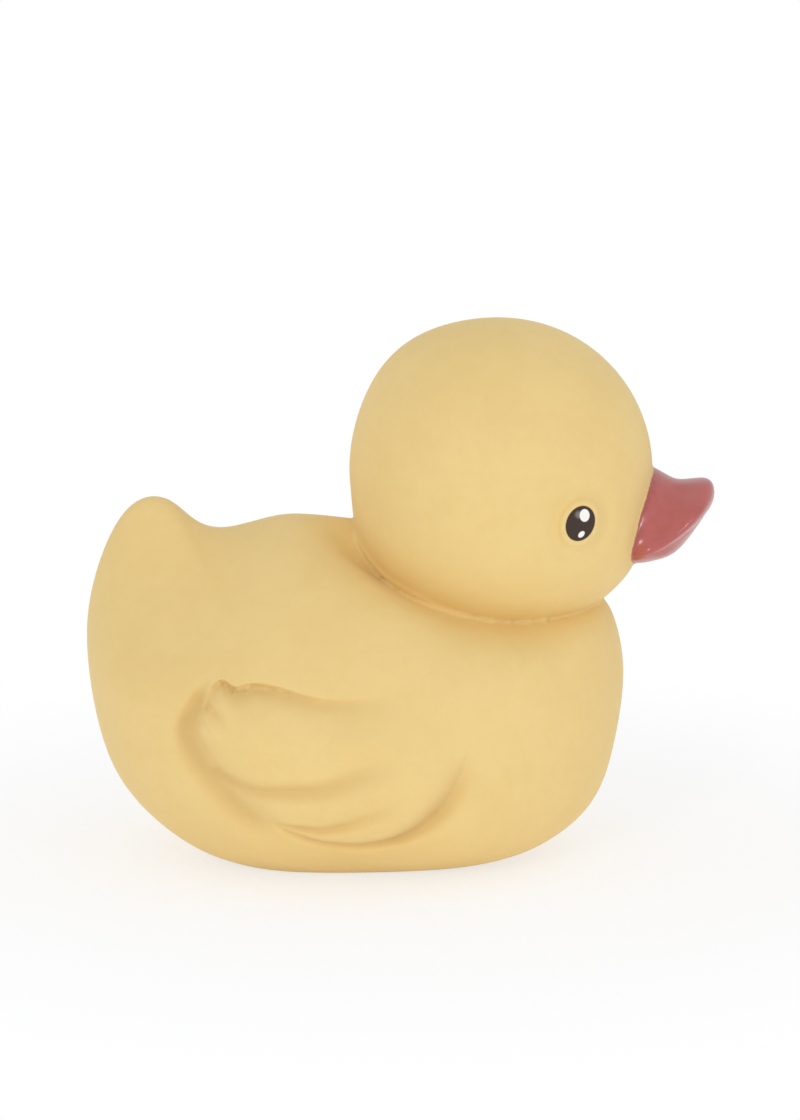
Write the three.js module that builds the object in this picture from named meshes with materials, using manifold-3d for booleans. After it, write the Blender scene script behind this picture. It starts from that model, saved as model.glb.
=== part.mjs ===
// A bath duck moulded in one piece from natural rubber, with its bill and eyes painted on.
// Millimetres, +Z up. The bill points to +X and the mirror plane is Y = 0.
import * as THREE from "three";
import { mergeVertices } from "three/addons/utils/BufferGeometryUtils.js";
import Module from "manifold-3d";

const wasm = await Module();
wasm.setup();
const { degToRad, mapLinear, smoothstep } = THREE.MathUtils;

// Driving sizes of the body. Heights are from the table, lengths from the rump.
const bodyLength = 94.8;
const bodyWidth = 75;
const backHeight = 60;
const chestHeight = 33;
const tailHeight = 63.9;
const tailSetback = 11.4;
const tailWidth = 30;
const tailDrawPower = 5;
const keelTrim = 2.4;

// Driving sizes of the head and its place over the chest
const headDiameter = 53.2;
const headWidth = 54;
const headTop = 95.4;
const headSetback = 21.8;
const cheekSwell = 2.3;
const crownSwell = 1.3;
const neckDip = 4.5;
const neckDipReach = 7;

// Driving sizes of the bill, from the front of the head
const billReach = 10.9;
const billHeight = 18.6;
const billWidth = 23.5;

// Driving sizes of the eyes, the rim round the neck and the wings
const eyeDiameter = 7.4;
const eyeRise = 0.5;
const eyeAzimuth = 60.5;
const eyeElevation = -10;
const neckRimDiameter = 1.3;
const wingLength = 45;
const wingHeight = 30;
const wingTipHeight = 38;
const wingSetback = 21.5;
const wingRise = 2.4;
const featherStep = 0.6;
const featherSeat = 0.4;

// Steps round and across each form
const bodySteps = [72, 34];
const headSteps = [48, 28];
const billSteps = [32, 14];
const featherSteps = [32, 8];
const eyeSteps = [16, 8];
const neckRimSteps = 80;
const neckRimSides = 6;

// A closed side outline, read as a distance from a centre in any direction
class Outline {
  constructor(centre, points) {
    this.centre = centre;
    const corners = points.map(([x, z]) => new THREE.Vector3(x, 0, z));
    const curve = new THREE.CatmullRomCurve3(corners, true, "centripetal");
    const samples = curve.getPoints(16 * points.length).slice(1).map(({ x, z }) => ({
      angle: Math.atan2(z - centre[1], x - centre[0]),
      radius: Math.hypot(x - centre[0], z - centre[1]),
    }));
    samples.sort((a, b) => a.angle - b.angle);
    const [first, last] = [samples[0], samples.at(-1)];
    samples.unshift({ ...last, angle: last.angle - 2 * Math.PI });
    samples.push({ ...first, angle: first.angle + 2 * Math.PI });
    this.samples = samples;
  }

  radiusAt(angle) {
    const next = this.samples.findIndex((sample) => sample.angle > angle);
    const [a, b] = [this.samples[next - 1], this.samples[next]];
    return mapLinear(angle, a.angle, b.angle, a.radius, b.radius);
  }
}

// A sphere with its poles on the Y axis, each vertex placed by a rule on its direction. One
// vertex of each ring lies at the first angle, such as that of a tip.
function shapedSphere([around, across], place, firstAngle = 0) {
  const geometry = new THREE.SphereGeometry(1, around, across, Math.PI - firstAngle);
  geometry.deleteAttribute("normal");
  geometry.deleteAttribute("uv");
  const merged = mergeVertices(geometry, 1e-5);
  const positions = merged.getAttribute("position");
  const direction = new THREE.Vector3();
  for (let i = 0; i < positions.count; i += 1) {
    direction.fromBufferAttribute(positions, i).normalize();
    positions.setXYZ(i, ...place(direction));
  }
  return merged;
}

function toSolid(geometry) {
  const bare = geometry.clone();
  bare.deleteAttribute("normal");
  bare.deleteAttribute("uv");
  const merged = mergeVertices(bare, 1e-4);
  const vertProperties = new Float32Array(merged.getAttribute("position").array);
  const triVerts = new Uint32Array(merged.index.array);
  return new wasm.Manifold(new wasm.Mesh({ numProp: 3, vertProperties, triVerts }));
}

function toGeometry(solid) {
  const mesh = solid.getMesh();
  const geometry = new THREE.BufferGeometry();
  geometry.setAttribute("position", new THREE.BufferAttribute(mesh.vertProperties, 3));
  geometry.setIndex(new THREE.BufferAttribute(mesh.triVerts, 1));
  geometry.computeVertexNormals();
  return geometry;
}

// Places on the body: the front of the chest is bodyLength in front of the rump
const chestX = bodyLength;
const headRadius = headDiameter / 2;
const headX = chestX - headSetback;
const headZ = headTop - headRadius;

// The head is a ball that swells to the cheeks all round below its middle, and a little
// behind its crown. It gives the ball's radius in a direction.
function headRadiusToward({ x, y, z }) {
  const cheeks = cheekSwell * smoothstep(-Math.asin(z), degToRad(5), degToRad(42));
  const fromCrown = Math.atan2(z, x) - degToRad(130);
  const crown = crownSwell * Math.exp(-((fromCrown / degToRad(24)) ** 2)) * (1 - Math.abs(y));
  return headRadius + cheeks + crown;
}

function placeOnHead(direction) {
  const radius = headRadiusToward(direction);
  return [
    headX + direction.x * radius,
    direction.y * radius * (headWidth / headDiameter),
    headZ + direction.z * radius,
  ];
}

// The body is an egg that stands taller at the back, with the tail drawn up out of its rump.
// Each ray of the side view, from the egg's middle to its edge, is filled out to both sides.
class Body {
  constructor() {
    const at = (share) => share * bodyLength;
    const up = (share) => share * backHeight;
    this.centre = [at(0.42), up(0.42)];
    const belly = [
      [0, up(0.62)],
      [at(0.037), up(0.31)],
      [at(0.106), up(0.148)],
      [at(0.212), up(0.025)],
      [at(0.37), -keelTrim],
      [at(0.58), -keelTrim],
      [at(0.76), up(-0.01)],
      [at(0.872), up(0.058)],
      [at(0.948), up(0.17)],
      [at(0.985), up(0.34)],
      [chestX, chestHeight],
      [at(0.985), up(0.69)],
      [at(0.95), up(0.77)],
      [headX, up(0.88)],
      [at(0.63), up(0.96)],
      [at(0.49), up(1)],
      [at(0.36), up(1.003)],
    ];
    this.egg = new Outline(this.centre, [
      ...belly,
      [at(0.24), up(0.95)],
      [at(0.13), up(0.87)],
      [at(0.045), up(0.77)],
    ]);
    this.side = new Outline(this.centre, [
      ...belly,
      [at(0.25), up(0.968)],
      [tailSetback + 7, tailHeight - 3.9],
      [tailSetback + 3.4, tailHeight - 0.8],
      [tailSetback, tailHeight],
      [tailSetback - 3.8, tailHeight - 1.9],
      [tailSetback - 7.9, tailHeight - 8.4],
      [at(0.008), up(0.78)],
    ]);
  }

  // Half the width of the body's middle, which narrows from the chest's height to the tail's
  halfWidth(x, z) {
    const rise = smoothstep(z, chestHeight, tailHeight);
    const back = 1 - smoothstep(x, tailSetback, bodyLength / 2);
    return (bodyWidth / 2) * (1 - (1 - tailWidth / bodyWidth) * rise * back);
  }

  fullness(angle) {
    return 2.2 + 0.5 * Math.cos(angle) ** 2;
  }

  // How far a share of the way to the edge reaches. The tail is drawn out near the edge only.
  reach(angle, share) {
    const egg = this.egg.radiusAt(angle);
    const drawn = this.side.radiusAt(angle) - egg;
    return share * (egg + drawn * share ** tailDrawPower);
  }

  // Half the thickness at a place in side view, which is 0 outside the outline
  halfWidthAt(x, z) {
    const [dx, dz] = [x - this.centre[0], z - this.centre[1]];
    const angle = Math.atan2(dz, dx);
    const distance = Math.hypot(dx, dz);
    let [low, high] = [0, 1];
    for (let halving = 0; halving < 20; halving += 1) {
      const middle = (low + high) / 2;
      if (this.reach(angle, middle) < distance) low = middle;
      else high = middle;
    }
    return this.halfWidth(x, z) * Math.sqrt(1 - high ** this.fullness(angle));
  }

  // How far the body sinks beside the neck: nothing in the mirror plane or at the chest
  dipAt(x, y, z) {
    const toPoint = new THREE.Vector3(x - headX, y, z - headZ);
    const distance = toPoint.length();
    const gap = Math.max(0, distance - headRadiusToward(toPoint.normalize()));
    const behind = 1 - smoothstep(x, headX - headRadius / 4, chestX);
    const beside = smoothstep(Math.abs(y), 0, headRadius / 2);
    return neckDip * behind * beside * Math.exp(-((gap / neckDipReach) ** 2));
  }

  contains({ x, y, z }) {
    return Math.abs(y) < this.halfWidthAt(x, z + this.dipAt(x, y, z));
  }

  geometry(steps) {
    return shapedSphere(steps, (direction) => {
      const angle = Math.atan2(direction.z, direction.x);
      const share = Math.min(1, Math.hypot(direction.x, direction.z) ** (2 / this.fullness(angle)));
      const reach = this.reach(angle, share);
      const x = this.centre[0] + reach * Math.cos(angle);
      const z = this.centre[1] + reach * Math.sin(angle);
      const y = direction.y * this.halfWidth(x, z);
      return [x, y, z - this.dipAt(x, y, z)];
    }, Math.atan2(tailHeight - this.centre[1], tailSetback - this.centre[0]));
  }
}

// The bill: a short scoop whose tip turns up, widest just above its lower lip
function makeBill() {
  const front = headX + headRadius;
  const top = headZ;
  const along = (share) => front + share * billReach;
  const down = (share) => top - share * billHeight;
  const centre = [along(-0.12), down(0.66)];
  const tip = [along(1), down(0.19)];
  const outline = new Outline(centre, [
    tip,
    [along(0.92), down(0.09)],
    [along(0.75), down(0.082)],
    [along(0.5), down(0.105)],
    [along(0.33), down(0.085)],
    [along(0), down(-0.02)],
    [along(-0.5), down(-0.06)],
    [along(-1.1), down(0.2)],
    [along(-1.3), down(0.6)],
    [along(-0.9), down(0.8)],
    [along(-0.36), down(0.915)],
    [along(0.06), down(0.86)],
    [along(0.4), down(0.755)],
    [along(0.69), down(0.56)],
    [along(0.87), down(0.4)],
  ]);
  return shapedSphere(billSteps, (direction) => {
    const angle = Math.atan2(direction.z, direction.x);
    const reach = Math.hypot(direction.x, direction.z) * outline.radiusAt(angle);
    const x = outline.centre[0] + reach * Math.cos(angle);
    const z = outline.centre[1] + reach * Math.sin(angle);
    return [x, (direction.y * billWidth) / 2, z];
  }, Math.atan2(tip[1] - centre[1], tip[0] - centre[0]));
}

// A ring of rubber where the head meets the body: at each bearing round the head, the
// place on the head's surface that the body's surface also passes through
function makeNeckRim(body) {
  const onHead = (bearing, slope) => {
    const direction = new THREE.Vector3().setFromSphericalCoords(1, slope, bearing);
    const turned = new THREE.Vector3(direction.x, direction.z, direction.y);
    return new THREE.Vector3(...placeOnHead(turned));
  };
  const points = Array.from({ length: neckRimSteps }, (_, i) => {
    const bearing = (2 * Math.PI * (i + 0.5)) / neckRimSteps;
    let [inside, outside] = [Math.PI, Math.PI / 2];
    for (let halving = 0; halving < 20; halving += 1) {
      const middle = (inside + outside) / 2;
      if (body.contains(onHead(bearing, middle))) inside = middle;
      else outside = middle;
    }
    return onHead(bearing, inside);
  });
  const path = new THREE.CatmullRomCurve3(points, true, "centripetal");
  return new THREE.TubeGeometry(path, neckRimSteps, neckRimDiameter / 2, neckRimSides, true);
}

// A feather lies on the flank as a leaf that is thickest along its middle
function makeFeather(body, outline, rise, side) {
  const depth = 2 * wingRise;
  return shapedSphere(featherSteps, (direction) => {
    const angle = Math.atan2(direction.z, direction.x);
    const reach = Math.hypot(direction.x, direction.z) * outline.radiusAt(angle);
    const x = outline.centre[0] + reach * Math.cos(angle);
    const z = outline.centre[1] + reach * Math.sin(angle);
    const outward = direction.y * side;
    const lift = outward > 0 ? (rise + featherSeat) * outward ** 0.6 : depth * outward;
    return [x, side * (body.halfWidthAt(x, z) + lift - featherSeat), z];
  });
}

// Each wing is three feathers, one over the other, from the upper one to the lower one
function makeWing(body, side) {
  const at = (share) => wingSetback + share * wingLength;
  const up = (share) => wingTipHeight - (1 - share) * wingHeight;
  const feathers = [
    new Outline([at(0.42), up(0.66)], [
      [at(0.03), up(0.98)],
      [at(0.14), up(1)],
      [at(0.36), up(0.9)],
      [at(0.62), up(0.92)],
      [at(0.9), up(0.82)],
      [at(0.86), up(0.6)],
      [at(0.65), up(0.45)],
      [at(0.45), up(0.37)],
      [at(0.25), up(0.33)],
      [at(0.1), up(0.42)],
      [at(0.01), up(0.7)],
    ]),
    new Outline([at(0.48), up(0.45)], [
      [at(0), up(0.84)],
      [at(0.3), up(0.8)],
      [at(0.7), up(0.75)],
      [at(0.92), up(0.6)],
      [at(0.76), up(0.32)],
      [at(0.6), up(0.16)],
      [at(0.45), up(0.1)],
      [at(0.28), up(0.13)],
      [at(0.1), up(0.34)],
      [at(-0.02), up(0.62)],
    ]),
    new Outline([at(0.6), up(0.38)], [
      [at(0.3), up(0.55)],
      [at(0.6), up(0.75)],
      [at(0.9), up(0.8)],
      [at(1), up(0.6)],
      [at(0.95), up(0.35)],
      [at(0.82), up(0.12)],
      [at(0.65), up(0.01)],
      [at(0.5), up(0)],
      [at(0.33), up(0.06)],
      [at(0.2), up(0.25)],
    ]),
  ];
  return feathers.map((outline, layer) => makeFeather(body, outline, wingRise - layer * featherStep, side));
}

// An eye is a low button on the cheek, as round as its painted spot
function makeEye(side) {
  const [bearing, slope] = [degToRad(eyeAzimuth), degToRad(eyeElevation)];
  const outward = new THREE.Vector3(
    Math.cos(bearing) * Math.cos(slope),
    side * Math.sin(bearing) * Math.cos(slope),
    Math.sin(slope),
  );
  const button = new THREE.SphereGeometry(eyeDiameter / 2, ...eyeSteps);
  button.scale(1, (2 * eyeRise) / eyeDiameter, 1);
  button.applyQuaternion(new THREE.Quaternion().setFromUnitVectors(new THREE.Vector3(0, 1, 0), outward));
  return button.translate(...placeOnHead(outward));
}

// What lies below the table is cut away, which leaves the flat base
function makeBelowTable() {
  const block = new THREE.BoxGeometry(2 * bodyLength, 2 * bodyWidth, backHeight);
  return block.translate(bodyLength / 2, 0, -backHeight / 2);
}

function makeDuckGeometry() {
  const body = new Body();
  const forms = [
    shapedSphere(headSteps, placeOnHead),
    makeBill(),
    makeNeckRim(body),
    ...[-1, 1].flatMap((side) => [...makeWing(body, side), makeEye(side)]),
  ];
  const whole = forms.reduce((solid, form) => solid.add(toSolid(form)), toSolid(body.geometry(bodySteps)));
  const geometry = toGeometry(whole.subtract(toSolid(makeBelowTable())));
  geometry.computeBoundingBox();
  const { min, max } = geometry.boundingBox;
  return geometry.translate(-(min.x + max.x) / 2, 0, 0);
}

const rubber = new THREE.MeshStandardMaterial({ color: 0xecce8b, roughness: 0.85, metalness: 0 });
const duck = new THREE.Mesh(makeDuckGeometry(), rubber);
duck.name = "duck";

const model = new THREE.Group();
model.add(duck);

export default model;
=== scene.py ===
"""A bath duck moulded in one piece from natural rubber, with its bill and eyes painted on.

The duck's sizes are in millimetres, and become metres as its mesh is finished. The studio's are
in metres. The bill points to +X, the table is at z = 0 and the mirror plane is y = 0.
"""

import logging
import math
from collections.abc import Callable
from dataclasses import dataclass
from enum import Enum
from typing import Any

import bmesh
import bpy
import numpy as np
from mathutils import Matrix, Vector

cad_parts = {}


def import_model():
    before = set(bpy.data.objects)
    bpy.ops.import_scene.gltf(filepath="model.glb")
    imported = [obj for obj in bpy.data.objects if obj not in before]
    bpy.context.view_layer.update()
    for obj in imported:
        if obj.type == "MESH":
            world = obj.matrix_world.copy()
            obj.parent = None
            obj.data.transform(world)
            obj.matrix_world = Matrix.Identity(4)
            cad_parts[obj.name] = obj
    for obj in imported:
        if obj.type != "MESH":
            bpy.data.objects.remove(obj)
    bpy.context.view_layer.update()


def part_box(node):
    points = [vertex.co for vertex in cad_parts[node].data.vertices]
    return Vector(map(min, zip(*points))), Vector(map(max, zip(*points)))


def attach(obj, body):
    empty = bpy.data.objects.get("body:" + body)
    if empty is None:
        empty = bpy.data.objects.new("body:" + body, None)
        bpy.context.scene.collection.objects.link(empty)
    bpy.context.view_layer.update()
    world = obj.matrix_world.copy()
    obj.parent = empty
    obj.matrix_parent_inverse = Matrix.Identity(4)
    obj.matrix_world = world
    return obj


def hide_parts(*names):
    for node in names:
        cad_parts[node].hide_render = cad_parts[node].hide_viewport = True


log = logging.getLogger("duck")

MM = 0.001
BODY = "root"
NODE = "duck"
TINY = 1e-12


def smooth_step(value: np.ndarray, low: float, high: float) -> np.ndarray:
    """Rises from 0 to 1 without corners, as the value goes from low to high."""
    share = np.clip((value - low) / (high - low), 0, 1)
    return share * share * (3 - 2 * share)


def hump(distance: np.ndarray, width: float | np.ndarray) -> np.ndarray:
    """Gives a soft hump of height 1, which has sunk to about a third at its width."""
    return np.exp(-((distance / width) ** 2))


def join(first: np.ndarray, second: np.ndarray, softness: float) -> np.ndarray:
    """Joins two forms, given as distances, with a fillet that reaches as far as its softness."""
    share = np.clip(0.5 + 0.5 * (second - first) / softness, 0, 1)
    return second + (first - second) * share - softness * share * (1 - share)


def smooth_curve(points: list | np.ndarray, closed: bool, steps: int) -> np.ndarray:
    """Runs an evenly bending curve through points.

    Args:
        points: The places it passes, one per row.
        closed: Whether it comes back to the first one.
        steps: How many samples each stretch gets.

    Returns:
        The samples, one per row.
    """
    places = np.asarray(points, float)
    if closed:
        places = np.vstack([places, places[:1]])
    last = len(places) - 1
    gaps = np.sqrt(np.linalg.norm(np.diff(places, axis=0), axis=1))
    slopes = np.diff(places, axis=0) / gaps[:, None]
    ties = np.eye(last + 1)
    pulls = np.zeros_like(places)
    for i in range(1, last):
        ties[i, i - 1 : i + 2] = gaps[i - 1], 2 * (gaps[i - 1] + gaps[i]), gaps[i]
        pulls[i] = 6 * (slopes[i] - slopes[i - 1])
    if closed:
        ties[0, last] = -1
        ties[last, [0, 1, last - 1]] = 0, gaps[0], gaps[-1]
        ties[last, last] = 2 * (gaps[0] + gaps[-1])
        pulls[last] = 6 * (slopes[0] - slopes[-1])
    bends = np.linalg.solve(ties, pulls)
    rows = []
    for i in range(last):
        share = np.arange(steps)[:, None] / steps
        rest = 1 - share
        bend = (rest**3 - rest) * bends[i] + (share**3 - share) * bends[i + 1]
        rows.append(rest * places[i] + share * places[i + 1] + bend * gaps[i] ** 2 / 6)
    if not closed:
        rows.append(places[-1:])
    return np.vstack(rows)


def nearest_on_line(
    places: np.ndarray, line: np.ndarray, closed: bool
) -> tuple[np.ndarray, np.ndarray]:
    """Finds how far places are from a line of straight stretches, and what part is nearest.

    Args:
        places: The places, one per row.
        line: The line's points, one per row.
        closed: Whether the line comes back to its first point.

    Returns:
        The distance of each place, and the share of the line before the nearest part.
    """
    nearest = np.full(len(places), np.inf)
    where = np.zeros(len(places))
    ends = np.roll(line, -1, axis=0) if closed else line[1:]
    for i, (start, end) in enumerate(zip(line, ends)):
        along = end - start
        offset = places - start
        share = np.clip(offset @ along / max(along @ along, TINY), 0, 1)
        gap = offset - share[:, None] * along
        square = np.einsum("ij,ij->i", gap, gap)
        closer = square < nearest
        nearest = np.where(closer, square, nearest)
        where = np.where(closer, (i + share) / len(ends), where)
    return np.sqrt(nearest), where


def distance_to_line(places: np.ndarray, line: np.ndarray, closed: bool) -> np.ndarray:
    """Gives the distance of places from a line of straight stretches."""
    return nearest_on_line(places, line, closed)[0]


def depth_inside(places: np.ndarray, outline: np.ndarray) -> np.ndarray:
    """Measures how deep flat places lie inside a closed outline.

    Args:
        places: The places, two numbers per row.
        outline: The outline's points, two numbers per row.

    Returns:
        The distance to the outline, below 0 outside it.
    """
    inside = np.zeros(len(places), bool)
    for start, end in zip(outline, np.roll(outline, -1, axis=0)):
        crosses = (start[1] > places[:, 1]) != (end[1] > places[:, 1])
        rise = end[1] - start[1] if end[1] != start[1] else TINY
        reach = start[0] + (places[:, 1] - start[1]) * (end[0] - start[0]) / rise
        inside ^= crosses & (places[:, 0] < reach)
    distance = distance_to_line(places, outline, closed=True)
    return np.where(inside, distance, -distance)


def measured(level: Callable[[np.ndarray], np.ndarray], places: np.ndarray) -> np.ndarray:
    """Turns a rule that is 0 on a surface into the distance from that surface.

    Args:
        level: The rule.
        places: Where it is read, one place per row.

    Returns:
        The distance of each place, below 0 inside.
    """
    step = 0.05
    flattest = 1e-6
    slopes = [
        (level(places + reach) - level(places - reach)) / (2 * step)
        for reach in step * np.eye(3)
    ]
    return level(places) / np.maximum(np.linalg.norm(slopes, axis=0), flattest)


class SideOutline:
    """A closed outline in side view, read as a distance from a centre in any direction."""

    def __init__(self, centre: tuple[float, float], points: list[tuple[float, float]]) -> None:
        """Runs the outline through its points.

        Args:
            centre: The place it is read from, as x and z.
            points: The places it passes, as x and z.
        """
        offsets = smooth_curve(points, closed=True, steps=48) - np.array(centre)
        angles = np.arctan2(offsets[:, 1], offsets[:, 0])
        order = np.argsort(angles)
        self.angles = angles[order]
        self.radii = np.hypot(*offsets.T)[order]

    def radius(self, angle: np.ndarray) -> np.ndarray:
        """Gives the distance from the centre to the outline toward each angle."""
        return np.interp(angle, self.angles, self.radii, period=2 * math.pi)


@dataclass
class HeadForm:
    """The head: a ball that swells to the cheeks and a little behind its crown."""

    x: float
    diameter: float = 53.2
    width: float = 54.0
    top: float = 95.4
    cheek_swell: float = 2.3
    cheek_band: tuple[float, float] = (5.0, 42.0)
    crown_swell: float = 1.3
    crown_bearing: float = 130.0
    crown_spread: float = 24.0

    @property
    def radius(self) -> float:
        """The ball's radius."""
        return self.diameter / 2

    @property
    def centre(self) -> np.ndarray:
        """The ball's middle."""
        return np.array([self.x, 0, self.top - self.radius])

    @property
    def stretch(self) -> np.ndarray:
        """How much the ball is stretched along each axis."""
        return np.array([1, self.width / self.diameter, 1])

    def radius_toward(self, direction: np.ndarray) -> np.ndarray:
        """Reads the ball's swollen radius.

        Args:
            direction: Directions of length 1, one per row.

        Returns:
            The radius toward each.
        """
        x, y, z = direction.T
        below = -np.degrees(np.arcsin(np.clip(z, -1, 1)))
        from_crown = np.degrees(np.arctan2(z, x)) - self.crown_bearing
        cheeks = self.cheek_swell * smooth_step(below, *self.cheek_band)
        crown = hump(from_crown, self.crown_spread) * (1 - np.abs(y))
        return self.radius + cheeks + self.crown_swell * crown

    def place(self, direction: np.ndarray) -> np.ndarray:
        """Gives the places on the head's surface toward directions, one per row."""
        return self.centre + direction * self.radius_toward(direction)[:, None] * self.stretch

    def distance(self, places: np.ndarray) -> np.ndarray:
        """Reads the distance from the head.

        Args:
            places: The places, one per row.

        Returns:
            The distance of each, below 0 inside.
        """
        offset = (places - self.centre) / self.stretch
        length = np.linalg.norm(offset, axis=1)
        direction = offset / np.maximum(length, TINY)[:, None]
        return length - self.radius_toward(direction)


@dataclass
class BodyForm:
    """The body: an egg that stands taller at the back, with the tail drawn up out of its rump."""

    rump_x: float
    head: HeadForm
    length: float = 94.8
    width: float = 75.0
    back_height: float = 60.0
    chest_height: float = 33.0
    tail_height: float = 63.9
    tail_setback: float = 11.4
    tail_width: float = 30.0
    tail_draw: int = 5
    keel_trim: float = 2.4
    roundness: float = 2.2
    end_roundness: float = 0.5
    neck_dip: float = 4.2
    neck_dip_reach: float = 7.5
    neck_dip_end: tuple[float, float] = (-2.0, 20.0)
    valley_dip: float = 2.4
    valley_reach: float = 3.8
    valley_end: tuple[float, float] = (-19.0, 1.0)
    dip_side: float = 11.0

    def __post_init__(self) -> None:
        """Draws the egg's outline and the outline with the tail."""
        self.centre = (self.at(0.42), self.up(0.42))
        tail_x = self.rump_x + self.tail_setback
        belly = [
            *self.shares([(0, 0.62), (0.037, 0.31), (0.106, 0.148), (0.212, 0.025)]),
            (self.at(0.37), -self.keel_trim),
            (self.at(0.58), -self.keel_trim),
            *self.shares([(0.76, -0.01), (0.872, 0.058), (0.948, 0.17), (0.985, 0.34)]),
            (self.at(1), self.chest_height),
            *self.shares([(0.985, 0.69), (0.95, 0.77)]),
            (self.head.x, self.up(0.88)),
            *self.shares([(0.63, 0.96), (0.49, 1), (0.36, 1.003)]),
        ]
        rump = self.shares([(0.24, 0.95), (0.13, 0.87), (0.045, 0.77)])
        tail = [
            (self.at(0.25), self.up(0.968)),
            (tail_x + 7, self.tail_height - 3.9),
            (tail_x + 3.4, self.tail_height - 0.8),
            (tail_x, self.tail_height),
            (tail_x - 3.8, self.tail_height - 1.9),
            (tail_x - 7.9, self.tail_height - 8.4),
            (self.at(0.008), self.up(0.78)),
        ]
        self.egg = SideOutline(self.centre, belly + rump)
        self.side = SideOutline(self.centre, belly + tail)

    def at(self, share: float) -> float:
        """Gives the place a share of the body's length in front of the rump."""
        return self.rump_x + share * self.length

    def up(self, share: float) -> float:
        """Gives the height that is a share of the back's."""
        return share * self.back_height

    def shares(self, points: list[tuple[float, float]]) -> list[tuple[float, float]]:
        """Gives places in side view by their shares of the body's length and height."""
        return [(self.at(along), self.up(height)) for along, height in points]

    def half_width(self, x: np.ndarray, z: np.ndarray) -> np.ndarray:
        """Reads half the width of the body's middle, which narrows up into the tail.

        Args:
            x: How far forward each place is.
            z: Its height.

        Returns:
            Half the width at each place.
        """
        rise = smooth_step(z, self.chest_height, self.tail_height)
        back = 1 - smooth_step(x, self.rump_x + self.tail_setback, self.rump_x + self.length / 2)
        return self.width / 2 * (1 - (1 - self.tail_width / self.width) * rise * back)

    def fullness(self, angle: np.ndarray) -> np.ndarray:
        """Gives the power of the roundness, which is greater at the body's ends."""
        return self.roundness + self.end_roundness * np.cos(angle) ** 2

    def dip(self, places: np.ndarray) -> np.ndarray:
        """Reads how far the body sinks beside the neck.

        Args:
            places: The places, one per row.

        Returns:
            The depth there, which is 0 at the nape and at the chest.
        """
        gap = np.maximum(self.head.distance(places), 0)
        forward = places[:, 0] - self.head.x
        beside = smooth_step(np.abs(places[:, 1]), 0, self.dip_side)
        ahead = 1 - smooth_step(forward, *self.neck_dip_end)
        behind = 1 - smooth_step(forward, *self.valley_end)
        broad = self.neck_dip * ahead * hump(gap, self.neck_dip_reach)
        return beside * (broad + self.valley_dip * behind * hump(gap, self.valley_reach))

    def place(self, direction: np.ndarray) -> np.ndarray:
        """Finds places on the body's surface.

        Args:
            direction: Directions of length 1 from its middle, one per row.

        Returns:
            The place toward each.
        """
        x, y, z = direction.T
        angle = np.arctan2(z, x)
        share = np.minimum(1, np.hypot(x, z) ** (2 / self.fullness(angle)))
        egg = self.egg.radius(angle)
        reach = share * (egg + (self.side.radius(angle) - egg) * share**self.tail_draw)
        across = self.centre[0] + reach * np.cos(angle)
        height = self.centre[1] + reach * np.sin(angle)
        places = np.stack([across, y * self.half_width(across, height), height], axis=1)
        places[:, 2] -= self.dip(places)
        return places

    def level(self, places: np.ndarray) -> np.ndarray:
        """Reads a rule that is 0 on the body's surface and below 0 inside.

        Args:
            places: The places, one per row.

        Returns:
            The rule's value at each.
        """
        x, y, _ = places.T
        z = places[:, 2] + self.dip(places)
        angle = np.arctan2(z - self.centre[1], x - self.centre[0])
        distance = np.hypot(x - self.centre[0], z - self.centre[1])
        egg = self.egg.radius(angle)
        drawn = self.side.radius(angle) - egg
        first_limit, limit, rounds = 1.1, 1.25, 5
        share = np.clip(distance / egg, 0, first_limit)
        for _ in range(rounds):
            power = share**self.tail_draw
            slope = egg + (self.tail_draw + 1) * drawn * power
            share = np.clip(share - (share * (egg + drawn * power) - distance) / slope, 0, limit)
        return share ** self.fullness(angle) + (y / self.half_width(x, z)) ** 2 - 1


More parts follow.
